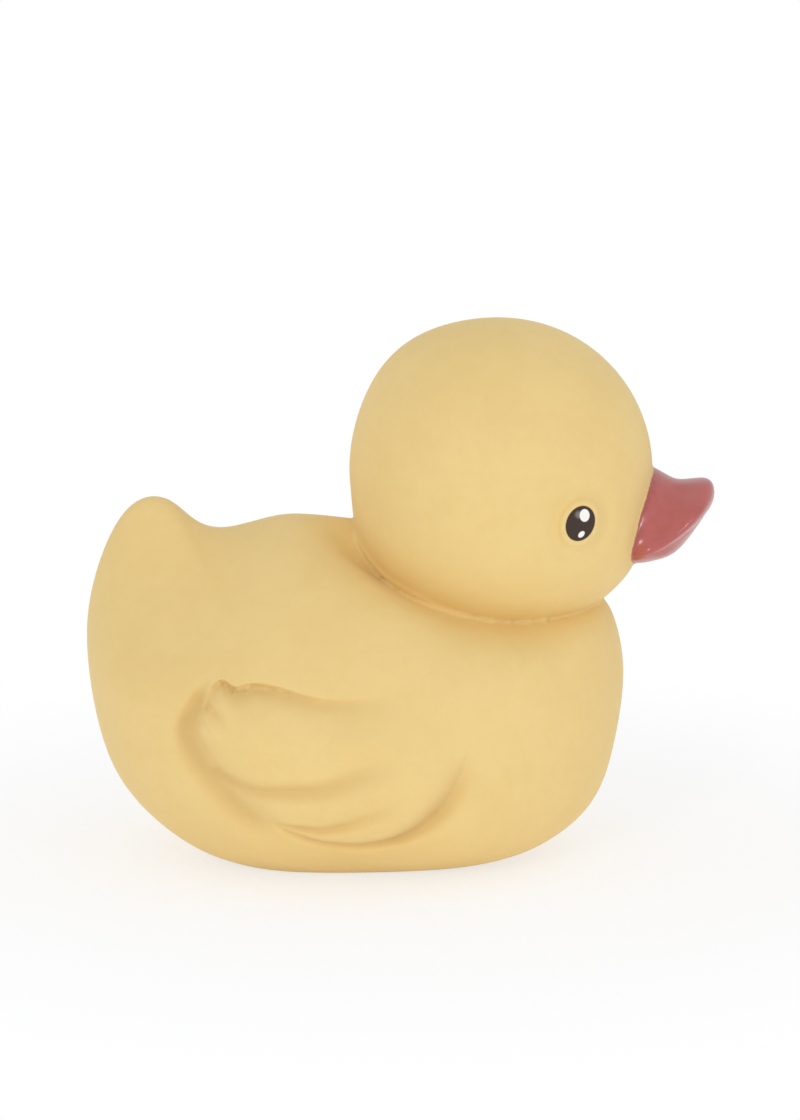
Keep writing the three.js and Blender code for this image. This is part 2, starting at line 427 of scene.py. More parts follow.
@dataclass
class BillForm:
    """The bill: a short scoop whose tip turns up, with a swollen lip along its edge."""

    head: HeadForm
    reach: float = 10.9
    height: float = 18.6
    width: float = 23.5
    root: float = 24.0
    lip_rise: float = 1.0
    lip_width: float = 0.9
    lip_spread: float = 0.8
    lip_start: tuple[float, float] = (-1.6, 1.8)
    lip_top: tuple[float, float] = (-6.5, -3.0)
    hollow: float = 0.55
    hollow_offset: float = 4.2
    hollow_width: float = 2.4
    hollow_start: tuple[float, float] = (-2.5, 2.0)
    hollow_side: tuple[float, float] = (2.0, 6.0)
    mouth_depth: float = 0.14
    mouth_width: float = 0.45
    mouth_end: tuple[float, float] = (8.0, 10.5)
    paint_margin: float = 0.3
    paint_overlap: float = 0.15
    paint_reach: float = 1.8
    paint_start: float = 15.0
    bare_depth: float = -10.0

    def __post_init__(self) -> None:
        """Draws the side outline, the lip and the mouth."""
        self.centre = (self.along(-0.12), self.down(0.66))
        shares = [
            (1, 0.19), (0.92, 0.103), (0.75, 0.093), (0.5, 0.105), (0.33, 0.085), (0, -0.02),
            (-0.5, -0.06), (-1.1, 0.2), (-1.3, 0.6), (-0.9, 0.77), (-0.36, 0.865),
            (0.06, 0.835), (0.4, 0.755), (0.69, 0.56), (0.87, 0.4),
        ]
        outline = [(self.along(share), self.down(depth)) for share, depth in shares]
        self.outline = SideOutline(self.centre, outline)
        self.lip = self.from_head([
            (22.4, -13.2), (24.1, -12.7), (26.0, -12.0), (27.8, -11.1), (30.1, -9.7),
            (32.0, -8.2), (33.6, -6.7), (34.9, -5.2), (36.0, -3.6), (37.0, -2.2),
        ])
        self.mouth = self.from_head([
            (22.0, -14.0), (24.1, -13.3), (27.4, -12.1), (29.4, -11.1), (31.3, -10.1),
            (33.0, -9.3), (34.5, -8.8), (36.0, -8.6),
        ])

    def along(self, share: float) -> float:
        """Gives the place a share of the bill's reach in front of the head."""
        return self.head.x + self.head.radius + share * self.reach

    def down(self, share: float) -> float:
        """Gives the height a share of the bill's height below the head's middle."""
        return self.head.centre[2] - share * self.height

    def from_head(self, points: list[tuple[float, float]]) -> np.ndarray:
        """Runs a line through places in side view, given from the head's middle."""
        return smooth_curve(points, closed=False, steps=6) + self.head.centre[[0, 2]]

    def place(self, direction: np.ndarray) -> np.ndarray:
        """Finds places on the bill's surface.

        Args:
            direction: Directions of length 1 from its middle, one per row.

        Returns:
            The place toward each.
        """
        x, y, z = direction.T
        angle = np.arctan2(z, x)
        reach = np.hypot(x, z) * self.outline.radius(angle)
        across = self.centre[0] + reach * np.cos(angle)
        height = self.centre[1] + reach * np.sin(angle)
        return np.stack([across, y * self.width / 2, height], axis=1)

    def level(self, places: np.ndarray) -> np.ndarray:
        """Reads a rule that is 0 on the bill's surface and below 0 inside.

        Args:
            places: The places, one per row.

        Returns:
            The rule's value at each.
        """
        x, y, z = places.T
        angle = np.arctan2(z - self.centre[1], x - self.centre[0])
        share = np.hypot(x - self.centre[0], z - self.centre[1]) / self.outline.radius(angle)
        return share**2 + (y / (self.width / 2)) ** 2 - 1

    def relief(self, places: np.ndarray) -> np.ndarray:
        """Reads how far the lip, the hollow and the mouth stand out of the plain scoop.

        Args:
            places: The places, one per row.

        Returns:
            The height at each, below 0 where it sinks.
        """
        side = places[:, [0, 2]]
        to_lip = distance_to_line(side, self.lip, closed=False)
        to_mouth = distance_to_line(side, self.mouth, closed=False)
        above = to_mouth - to_lip
        beyond = places[:, 0] - self.head.x - self.root
        aside = np.abs(places[:, 1])
        height = places[:, 2] - self.head.centre[2]
        hollow = self.hollow * hump(to_lip - self.hollow_offset, self.hollow_width)
        hollow *= smooth_step(above, 0, 1) * smooth_step(aside, *self.hollow_side)
        hollow *= smooth_step(beyond, *self.hollow_start)
        wider = self.lip_spread * smooth_step(above, -self.lip_spread, self.lip_spread)
        lip = self.lip_rise * hump(to_lip, self.lip_width + wider)
        lip *= (1 - smooth_step(height, *self.lip_top)) * smooth_step(beyond, *self.lip_start)
        mouth = self.mouth_depth * hump(to_mouth, self.mouth_width)
        return lip - mouth * (1 - smooth_step(beyond, *self.mouth_end)) - hollow

    def paint_depth(self, places: np.ndarray) -> np.ndarray:
        """Reads how deep places lie inside the paint, which ends where the bill meets the head.

        Args:
            places: The places, one per row.

        Returns:
            The depth at each, below 0 on bare rubber.
        """
        outside = measured(self.level, places)
        clear = self.head.distance(places) - self.paint_margin
        thin = np.minimum(clear, self.paint_reach - outside)
        depth = np.maximum(self.paint_overlap - outside, thin)
        return np.where(places[:, 0] > self.head.x + self.paint_start, depth, self.bare_depth)


@dataclass
class EyeForm:
    """An eye: a painted oval on a low button, in a shallow dish of the cheek."""

    head: HeadForm
    ahead: float = 13.2
    outward: float = 23.67
    drop: float = 4.87
    tall: tuple[float, float] = (1.36, 2.825)
    wide: tuple[float, float] = (2.195, -1.10)
    view_tilt: float = 12.0
    radius: float = 3.0
    button_rise: float = 0.5
    button_edge: tuple[float, float] = (2.2, 4.6)
    rim_rise: float = 0.4
    rim_band: tuple[float, float] = (3.7, 0.6)
    dish_depth: float = 0.55
    dish_band: tuple[float, float] = (5.6, 1.3)

    @property
    def centre(self) -> np.ndarray:
        """The eye's middle on the +Y side."""
        return self.head.centre + np.array([self.ahead, self.outward, -self.drop])

    @property
    def up(self) -> tuple[float, float]:
        """The shares of outward and of height in the eye's upward direction."""
        tilt = math.radians(self.view_tilt)
        return -math.sin(tilt), math.cos(tilt)

    @property
    def counts(self) -> tuple[tuple[float, float], tuple[float, float]]:
        """What right and up count for in the shares of the tall and of the wide radius."""
        (tall_right, tall_up), (wide_right, wide_up) = self.tall, self.wide
        size = tall_right * wide_up - wide_right * tall_up
        return (wide_up / size, -wide_right / size), (-tall_up / size, tall_right / size)

    def share(self, places: np.ndarray) -> np.ndarray:
        """Reads how far out places lie, where 1 is the edge of the painted oval.

        Args:
            places: The places, one per row.

        Returns:
            The share of the way out at each.
        """
        offset = np.stack([places[:, 0], np.abs(places[:, 1]), places[:, 2]], axis=1) - self.centre
        right = offset[:, 0]
        up = offset[:, 1] * self.up[0] + offset[:, 2] * self.up[1]
        tall, wide = [right * across + up * rising for across, rising in self.counts]
        return np.hypot(tall, wide)

    def out(self, places: np.ndarray) -> np.ndarray:
        """Reads about how many millimetres places lie from the eye's middle."""
        return self.radius * self.share(places)

    def relief(self, places: np.ndarray) -> np.ndarray:
        """Reads how far the button, its rim and its dish stand out of the cheek.

        Args:
            places: The places, one per row.

        Returns:
            The height at each, below 0 where it sinks.
        """
        near = np.abs(places[:, 1]) > self.outward / 2
        out = self.out(places)
        button = self.button_rise * (1 - smooth_step(out, *self.button_edge))
        rim_middle, rim_width = self.rim_band
        rim = self.rim_rise * hump(out - rim_middle, rim_width)
        dish_middle, dish_width = self.dish_band
        dish = self.dish_depth * hump(out - dish_middle, dish_width)
        return np.where(near, button + rim - dish, 0)


@dataclass
class NeckWelt:
    """The thin welt of rubber round the neck: on the head behind, on the body in front."""

    head: HeadForm
    thin: tuple[float, float] = (0.55, 0.75)
    wide: tuple[float, float] = (0.9, 0.8)
    outward: float = 0.65
    front: tuple[float, float] = (-14.0, 1.0)
    fade: tuple[float, float] = (10.0, 16.0)
    faded_share: float = 0.8

    def __post_init__(self) -> None:
        """Lays the welt on the head, at degrees below its middle for each bearing in degrees."""
        bearings = [0, 20, 32, 48, 63, 77, 91, 104, 115, 126, 135, 146, 153, 161, 170, 180]
        depths = [
            51.5, 52.5, 54.6, 56.8, 58, 58.1, 56.9, 54, 49.8, 44.6, 40.6, 36.8, 33.4, 29, 24.5, 23,
        ]
        around = np.radians([*bearings, *[360 - bearing for bearing in bearings[-2:0:-1]]])
        below = np.radians([*depths, *depths[-2:0:-1]])
        level = np.cos(below)
        points = np.stack([np.cos(around) * level, np.sin(around) * level, -np.sin(below)], axis=1)
        line = smooth_curve(points, closed=True, steps=8)
        line /= np.linalg.norm(line, axis=1, keepdims=True)
        surface = self.head.place(line)
        self.line = surface + self.outward * self.forward(surface)[:, None] * line

    def forward(self, places: np.ndarray) -> np.ndarray:
        """Says how much places belong to the welt's front, from 0 to 1."""
        return smooth_step(places[:, 0] - self.head.x, *self.front)

    def relief(self, places: np.ndarray) -> np.ndarray:
        """Reads how far the welt stands out.

        Args:
            places: The places, one per row.

        Returns:
            The height at each.
        """
        forward = self.forward(places)
        rise, width = [
            thin + (wide - thin) * forward for thin, wide in zip(self.thin, self.wide)
        ]
        shown = 1 - self.faded_share * smooth_step(places[:, 0] - self.head.x, *self.fade)
        return rise * shown * hump(distance_to_line(places, self.line, closed=True), width)


class ReliefMap:
    """Heights over the side view, kept on a fine grid and read between its points."""

    pitch = 0.15

    def __init__(
        self,
        low: tuple[float, float],
        high: tuple[float, float],
        rule: Callable[[np.ndarray], np.ndarray],
    ) -> None:
        """Reads a rule all over the grid.

        Args:
            low: The grid's lowest x and z.
            high: Its highest x and z.
            rule: Gives the heights of flat places, one per row.
        """
        self.low = low
        self.counts = [int((b - a) / self.pitch) + 1 for a, b in zip(low, high)]
        xs, zs = [a + self.pitch * np.arange(n) for a, n in zip(low, self.counts)]
        across, up = np.meshgrid(xs, zs, indexing="ij")
        heights = rule(np.stack([across.ravel(), up.ravel()], axis=1))
        self.heights = heights.reshape(self.counts)

    def height(self, x: np.ndarray, z: np.ndarray) -> np.ndarray:
        """Reads the heights of places, which are 0 off the grid.

        Args:
            x: How far forward each place is.
            z: Its height above the table.

        Returns:
            The relief's height at each.
        """
        steps = [(value - low) / self.pitch for value, low in zip((x, z), self.low)]
        within = np.ones(len(x), bool)
        for step, count in zip(steps, self.counts):
            within &= (step >= 0) & (step < count - 1)
        (i, k) = [np.where(within, step, 0).astype(int) for step in steps]
        (u, w) = [np.where(within, step, 0) - cell for step, cell in zip(steps, (i, k))]
        grid = self.heights
        lower = grid[i, k] * (1 - u) + grid[i + 1, k] * u
        upper = grid[i, k + 1] * (1 - u) + grid[i + 1, k + 1] * u
        return np.where(within, lower * (1 - w) + upper * w, 0)


@dataclass
class Lobe:
    """One lobe of a wing, seen from the side."""

    rise: float
    edge: float
    points: list[tuple[float, float]]

    def __post_init__(self) -> None:
        """Runs the outline through its points."""
        self.outline = smooth_curve(self.points, closed=True, steps=6)

    def heights(self, places: np.ndarray) -> np.ndarray:
        """Gives the height of the lobe's pillow at flat places, which is 0 outside it."""
        depth = np.maximum(depth_inside(places, self.outline), 0)
        return self.rise * (1 - np.exp(-depth / self.edge))


@dataclass
class Crease:
    """A groove or ridge of changing depth along a line in side view."""

    points: list[tuple[float, float]]
    depths: list[float]
    widths: list[float]

    def __post_init__(self) -> None:
        """Runs the line through its points."""
        self.line = smooth_curve(self.points, closed=False, steps=6)

    def heights(self, places: np.ndarray) -> np.ndarray:
        """Reads the groove's height over flat places.

        Args:
            places: The places, as x and z.

        Returns:
            The height at each, below 0 in a groove.
        """
        distance, share = nearest_on_line(places, self.line, closed=False)
        depth = np.interp(share, np.linspace(0, 1, len(self.depths)), self.depths)
        width = np.interp(share, np.linspace(0, 1, len(self.widths)), self.widths)
        return -depth * hump(distance, width)


@dataclass
class WingForm:
    """A folded wing on each flank: three lobes, one over the other, that fade at the shoulder."""

    shoulder: tuple[float, float] = (9.0, 36.5)
    fade: tuple[float, float] = (4.0, 17.0)
    fade_start: tuple[float, float] = (-14.0, 0.0)
    top_ramp: tuple[float, float] = (-3.0, 9.0)
    groove_ramp: tuple[float, float] = (-0.4, 1.0)
    fillet: float = 0.15
    aside: float = 12.0

    def __post_init__(self) -> None:
        """Draws the lobes and creases, and keeps their relief."""
        top = [
            (-32.5, 36.9), (-31.9, 37.7), (-31.1, 38.2), (-30.3, 38.4), (-29.3, 38.0),
            (-28.5, 37.55), (-27.6, 37.45), (-26.2, 37.9), (-24.1, 38.1), (-21.5, 37.8),
            (-19.2, 37.3), (-16.4, 36.5), (-13.5, 35.9), (-10.6, 35.7), (-7.9, 35.8),
            (-5.0, 36.2), (-1.5, 36.9),
        ]
        between_upper = [
            (-31.0, 22.9), (-27.9, 21.2), (-25.0, 20.2), (-22.1, 20.0), (-17.5, 20.0),
            (-13.5, 20.3), (-10.6, 21.2), (-7.9, 22.2), (-5.0, 23.1), (-2.1, 23.9), (0.5, 24.8),
        ]
        between_lower = [
            (-20.6, 13.7), (-18.7, 13.1), (-16.8, 12.8), (-14.5, 12.5), (-11.4, 12.9),
            (-8.5, 13.7), (-5.6, 14.8), (-2.4, 16.3), (0.2, 18.2),
        ]
        outer = [
            (-21.2, 13.2), (-19.3, 11.9), (-16.6, 10.7), (-13.7, 9.6), (-10.7, 9.1),
            (-8.0, 8.9), (-5.1, 9.2), (-2.1, 9.9), (0.6, 11.0), (3.3, 12.7), (5.8, 14.9),
            (7.9, 17.5), (9.5, 20.4), (10.7, 23.2), (11.6, 26.0),
        ]
        rear_upper = [(-31.1, 24.5), (-31.5, 27.0), (-31.2, 30.0), (-31.4, 32.3), (-32.2, 34.3)]
        rear_middle = [
            (-24.3, 16.9), (-26.7, 19.2), (-28.6, 21.3), (-30.4, 23.2), (-32.2, 25.4),
            (-33.9, 27.8), (-35.0, 30.2), (-35.1, 32.1), (-34.4, 33.5),
        ]
        self.lobes = [
            Lobe(2.55, 2.4, [
                *top, (5, 37.5), (12, 34), (9, 29), *reversed(between_upper), *rear_upper,
            ]),
            Lobe(1.95, 1.5, [
                (-33.2, 33.6), (-31, 33), (-20, 33), (-8, 32), (6, 31), (9, 27), (5, 22),
                *reversed(between_lower), (-22.4, 15.2), *rear_middle,
            ]),
            Lobe(1.45, 0.9, [
                (-21.8, 15), (-18, 20), (-10, 26), (0, 30), (10, 31), (12.2, 28.6),
                *reversed(outer),
            ]),
        ]
        self.top = smooth_curve(top, closed=False, steps=6)
        self.top_groove = Crease(top, [1.3, 2.1, 2.3, 2.1, 1.8, 1.3, 0.7, 0], [1.6, 1.9, 2.4])
        self.creases = [
            Crease(between_upper, [0.8, 1.4, 1.4, 1.2, 0.7, 0], [1.1, 1.7, 2.0]),
            Crease(between_lower, [0.7, 1.4, 1.3, 1.1, 0.6, 0], [0.6, 1.0, 1.6]),
            Crease(outer, [0.2, 0.8, 1.0, 1.2, 1.8, 2.0, 1.1, 0], [0.6, 0.8, 1.2, 2.1, 2.0]),
            Crease([
                (-33.2, 37.6), (-33.9, 36.2), (-34.6, 34.6), (-35.7, 32.4), (-36.3, 29.8),
                (-35.5, 26.6), (-34.0, 23.8), (-32.2, 21.3), (-30.1, 18.9), (-28.0, 16.5),
                (-25.8, 14.5), (-23.4, 13.0), (-20.6, 11.8),
            ], [0.4, 1.7, 1.8, 1.7, 1.7, 1.7, 1.4, 0.0], [0.9, 1.5, 2.3, 2.5, 2.3, 1.9]),
            Crease([(-32.7, 36.8), (-32.6, 35.4), (-32.9, 33.9)], [0.1, 0.6, 0.9], [0.4, 0.5]),
            Crease([(-32.2, 34.2), (-31.5, 33.0), (-30.4, 31.7)], [0.5, 0.3, 0.0], [0.5, 0.7]),
            Crease([(-33.9, 32.7), (-33.0, 31.5), (-31.2, 29.6)], [-0.3, -0.35, 0], [0.5, 0.7]),
            Crease([(-33.9, 30.4), (-32.2, 28.2)], [-0.2, 0.0], [0.5, 0.7]),
            Crease([(-30.6, 36.6), (-29.6, 34.4), (-29.0, 32.0)], [-0.4, -0.3, 0.0], [1.2, 1.8]),
        ]
        low, high = (-46, 2), (26, 50)
        self.map = ReliefMap(low, high, self.heights)
        self.groove_map = ReliefMap(low, high, self.sunk)

    def heights(self, places: np.ndarray) -> np.ndarray:
        """Reads the whole wing's relief over flat places.

        Args:
            places: The places, as x and z.

        Returns:
            The height at each, below 0 where it sinks.
        """
        upper, middle, lower = [lobe.heights(places) for lobe in self.lobes]
        below_top = distance_to_line(places, self.top, closed=False)
        upper = upper * smooth_step(below_top, *self.top_ramp)
        raised = -join(join(-upper, -middle, self.fillet), -lower, self.fillet)
        away = np.linalg.norm(places - np.array(self.shoulder), axis=1)
        forward = smooth_step(places[:, 0], *self.fade_start)
        shown = 1 - forward * (1 - smooth_step(away, *self.fade))
        return raised * shown + self.sunk(places)

    def sunk(self, places: np.ndarray) -> np.ndarray:
        """Reads the grooves and ridges alone over flat places.

        Args:
            places: The places, as x and z.

        Returns:
            The height at each, below 0 in a groove.
        """
        within = smooth_step(depth_inside(places, self.lobes[0].outline), *self.groove_ramp)
        top = within * self.top_groove.heights(places)
        return top + sum(crease.heights(places) for crease in self.creases)

    def relief(self, places: np.ndarray) -> np.ndarray:
        """Gives the relief's height at places on either flank."""
        return self.map.height(places[:, 0], places[:, 2]) * (np.abs(places[:, 1]) > self.aside)


class Refinement(Enum):
    """The rounds in which parts of the mesh are halved."""

    SOFT = 1
    CRISP = 2


@dataclass
class Duck:
    """The whole duck as one closed skin."""

    rump_x: float
    head_setback: float = 21.8
    body_length: float = 94.8
    voxel: float = 0.9
    tolerance: float = 0.002
    crease_softness: float = 0.6
    rim_softness: float = 0.3
    bill_softness: float = 0.6
    bill_start: float = 14.0
    bill_blend: tuple[float, float] = (-1.5, 0.5)
    bill_off: float = 9.0
    welt_reach: float = 2.5
    neck_drop: float = 5.0
    # groove_depth, groove_side, crease_share and crease_width set the painted shade in the wings'
    # grooves and the neck crease.
    groove_depth: float = 2.2
    groove_side: tuple[float, float] = (12.0, 16.0)
    crease_share: float = 0.25
    crease_width: float = 1.2

    def __post_init__(self) -> None:
        """Sizes the forms that are joined."""
        self.head = HeadForm(self.rump_x + self.body_length - self.head_setback)
        self.body = BodyForm(self.rump_x, self.head)
        self.bill = BillForm(self.head)
        self.eye = EyeForm(self.head)
        self.wing = WingForm()
        self.welt = NeckWelt(self.head)

    def distance(self, places: np.ndarray) -> np.ndarray:
        """Reads the distance from the finished skin.

        Args:
            places: The places, one per row.

        Returns:
            The distance of each, below 0 inside.
        """
        head = self.head.distance(places)
        body = measured(self.body.level, places)
        whole = join(head, body, self.crease_softness)
        front = places[:, 0] > self.head.x + self.bill_start
        bill = np.full(len(places), self.bill_off)
        bill[front] = measured(self.bill.level, places[front])
        share = 1 - smooth_step(bill - head, *self.bill_blend)
        relief = self.wing.relief(places) + self.eye.relief(places)
        near_neck = (np.abs(head) < self.welt_reach) & self.low(places)
        relief[near_neck] += self.welt.relief(places[near_neck])
        if share[front].any():
            relief[front] += share[front] * self.bill.relief(places[front])
        skin = join(whole, bill, self.bill_softness) - relief
        return -join(-skin, places[:, 2], self.rim_softness)

    def low(self, places: np.ndarray) -> np.ndarray:
        """Says which places are low enough to belong to the neck."""
        return places[:, 2] < self.head.centre[2] - self.neck_drop

    def settle(self, mesh: bmesh.types.BMesh, rounds: int) -> None:
        """Moves every vertex onto the finished skin, and none below the table.

        Args:
            mesh: The mesh, in millimetres.
            rounds: How often each vertex steps toward the skin.
        """
        places = np.array([vertex.co for vertex in mesh.verts])
        moving = np.arange(len(places))
        step, flattest, furthest = 0.03, 0.25, 1.0
        for _ in range(rounds):
            here = self.distance(places[moving])
            unsettled = np.abs(here) > self.tolerance
            moving, here = moving[unsettled], here[unsettled]
            slopes = [
                (self.distance(places[moving] + reach) - here) / step
                for reach in step * np.eye(3)
            ]
            slope = np.stack(slopes, axis=1)
            size = np.maximum(np.einsum("ij,ij->i", slope, slope), flattest)
            places[moving] -= np.clip(here / size, -furthest, furthest)[:, None] * slope
        places[:, 2] = np.maximum(places[:, 2], 0)
        for vertex, place in zip(mesh.verts, places.tolist()):
            vertex.co = place

    def forms(self) -> bpy.types.Object:
        """Makes the head, body and bill as closed forms in one object.

        Returns:
            The object, in metres.
        """
        mesh = bmesh.new()
        for form in (self.body, self.head, self.bill):
            made = bmesh.ops.create_uvsphere(mesh, u_segments=160, v_segments=90, radius=1)
            ball = made["verts"]
            directions = np.array([vertex.co for vertex in ball])[:, [0, 2, 1]]
            for vertex, place in zip(ball, form.place(directions).tolist()):
                vertex.co = Vector(place) * MM
        bmesh.ops.recalc_face_normals(mesh, faces=mesh.faces)
        return self.keep(mesh, "duck_forms")

    @staticmethod
    def keep(mesh: bmesh.types.BMesh, name: str) -> bpy.types.Object:
        """Puts a mesh into the scene as an object.

        Args:
            mesh: The mesh, in metres, which is freed.
            name: The object's name.

        Returns:
            The object.
        """
        data = bpy.data.meshes.new(name)
        mesh.to_mesh(data)
        mesh.free()
        piece = bpy.data.objects.new(name, data)
        bpy.context.scene.collection.objects.link(piece)
        return piece

    def fused(self) -> bmesh.types.BMesh:
        """Fuses the forms into one even skin.

        Returns:
            The skin, in millimetres.
        """
        forms = self.forms()
        remesh = forms.modifiers.new("fuse", "REMESH")
        remesh.mode = "VOXEL"
        remesh.voxel_size = self.voxel * MM
        remesh.adaptivity = 0
        graph = bpy.context.evaluated_depsgraph_get()
        data = bpy.data.meshes.new_from_object(forms.evaluated_get(graph))
        mesh = bmesh.new()
        mesh.from_mesh(data)
        bmesh.ops.scale(mesh, vec=(1 / MM, 1 / MM, 1 / MM), verts=mesh.verts)
        bpy.data.objects.remove(forms)
        bpy.data.meshes.remove(data)
        return mesh

    def wanted(self, places: np.ndarray, level: Refinement) -> np.ndarray:
        """Says where the mesh is halved.

        Args:
            places: The places, one per row.
            level: The round of halving.

        Returns:
            Whether each place is in a part that this round halves.
        """
        crisp = level is Refinement.CRISP
        neck_reach, eye_reach = (0.9, 5.0) if crisp else (2.4, 7.0)
        crease_reach, lobe_reach, bill_reach, line_reach = 0.8, 3.0, 1.0, 0.9
        side_start, bill_front = 15.0, 20.0
        head = np.abs(self.head.distance(places))
        near_neck = head < neck_reach
        near_neck[near_neck] = np.abs(measured(self.body.level, places[near_neck])) < neck_reach
        on_welt = head < self.welt_reach
        to_welt = distance_to_line(places[on_welt], self.welt.line, closed=True)
        on_welt[on_welt] = to_welt < neck_reach
        flank = np.abs(places[:, 1]) > side_start
        at_eye = flank & (self.eye.out(places) < eye_reach)
        side = places[:, [0, 2]]
        wing = np.zeros(len(places), bool)
        if crisp:
            for crease in [self.wing.top_groove, *self.wing.creases]:
                to_crease = distance_to_line(side[flank], crease.line, closed=False)
                wing[flank] |= to_crease < crease_reach
        else:
            for lobe in self.wing.lobes:
                wing[flank] |= depth_inside(side[flank], lobe.outline) > -lobe_reach
        bill = places[:, 0] > self.head.x + bill_front
        bill &= measured(self.bill.level, places) < bill_reach
        if crisp:
            lines = (self.bill.mouth, self.bill.lip)
            to_lines = [distance_to_line(side, line, closed=False) for line in lines]
            bill &= np.min(to_lines, axis=0) < line_reach
        return near_neck | on_welt | at_eye | wing | bill

    def refine(self, mesh: bmesh.types.BMesh, level: Refinement) -> None:
        """Halves the edges where the relief needs it, and settles the new vertices.

        Args:
            mesh: The mesh, in millimetres.
            level: The round of halving.
        """
        mesh.verts.index_update()
        places = np.array([vertex.co for vertex in mesh.verts])
        chosen = self.wanted(places, level)
        edges = [
            edge for edge in mesh.edges if all(chosen[vertex.index] for vertex in edge.verts)
        ]
        bmesh.ops.subdivide_edges(mesh, edges=edges, cuts=1, use_grid_fill=True)
        self.settle(mesh, 2)

    def build(self) -> bpy.types.Object:
        """Makes the skin.

        Returns:
            The finished piece, in metres.
        """
        mesh = self.fused()
        self.settle(mesh, 3)
        for _ in range(3):
            bmesh.ops.smooth_vert(
                mesh, verts=mesh.verts, factor=0.5,
                use_axis_x=True, use_axis_y=True, use_axis_z=True,
            )
            self.settle(mesh, 2)
        self.refine(mesh, Refinement.SOFT)
        self.refine(mesh, Refinement.CRISP)
        self.settle(mesh, 2)
        many_sided = [face for face in mesh.faces if len(face.verts) > 4]
        bmesh.ops.triangulate(mesh, faces=many_sided)
        for face in mesh.faces:
            face.smooth = True
        places = np.array([vertex.co for vertex in mesh.verts])
        bmesh.ops.scale(mesh, vec=(MM, MM, MM), verts=mesh.verts)
        piece = self.keep(mesh, "duck_skin")
        self.mark(piece, "bill_paint", self.bill.paint_depth(places))
        # Painted shade: how far each vertex is darkened in colour in the grooves and the neck
        # crease.
        self.mark(piece, "painted_recess_shade", self.painted_recess_shade(places))
        return piece

    def painted_recess_shade(self, places: np.ndarray) -> np.ndarray:
        """Reads how deep places lie in the wings' grooves and in the crease of the neck, as the
        share of painted shade that darkens them.

        Args:
            places: The places, one per row.

        Returns:
            A share of painted shade, from 0 on open rubber to 1 at the bottom of a groove.
        """
        wing = -self.wing.groove_map.height(places[:, 0], places[:, 2]) / self.groove_depth
        wing = np.clip(wing, 0, 1) * smooth_step(np.abs(places[:, 1]), *self.groove_side)
        head = np.abs(self.head.distance(places))
        body = np.abs(measured(self.body.level, places))
        neck = self.crease_share * hump(head + body, self.crease_width)
        return np.maximum(wing, neck * self.low(places))

    @staticmethod
    def mark(piece: bpy.types.Object, name: str, values: np.ndarray) -> None:
        """Keeps a number for every vertex, which the material reads by its name."""
        kept = piece.data.attributes.new(name, "FLOAT", "POINT")
        kept.data.foreach_set("value", values.astype(np.float32))


class Term:
    """A number that changes over the surface, which sums can be written with."""

    def __init__(self, shader: "Shader", socket: bpy.types.NodeSocket) -> None:
        """Wraps the socket that gives the number, in the shader that it belongs to."""
        self.shader = shader
        self.socket = socket

    def combine(self, operation: str, *others: "Term | float") -> "Term":
        """Adds a Math node.

        Args:
            operation: The node's operation.
            others: What stands after this number in it.

        Returns:
            The result.
        """
        inputs = dict(enumerate((self, *others)))
        node = self.shader.node("ShaderNodeMath", inputs, operation=operation)
        return Term(self.shader, node.outputs[0])

    def __add__(self, other: "Term | float") -> "Term":
        """Adds."""
        return self.combine("ADD", other)

    __radd__ = __add__

    def __mul__(self, other: "Term | float") -> "Term":
        """Multiplies."""
        return self.combine("MULTIPLY", other)

    __rmul__ = __mul__

    def __sub__(self, other: "Term | float") -> "Term":
        """Subtracts."""
        return self.combine("SUBTRACT", other)

    def __rsub__(self, other: float) -> "Term":
        """Subtracts this number from another."""
        return self * -1.0 + other

    def __abs__(self) -> "Term":
        """Drops the sign."""
        return self.combine("ABSOLUTE")

    def __pow__(self, other: float) -> "Term":
        """Raises to a power."""
        return self.combine("POWER", other)

    def rise(self, low: float, high: float) -> "Term":
        """Rises from 0 to 1 without corners, as the number goes from low to high."""
        node = self.shader.node(
            "ShaderNodeMapRange",
            {"Value": self, "From Min": low, "From Max": high},
            interpolation_type="SMOOTHSTEP",
        )
        return Term(self.shader, node.outputs["Result"])


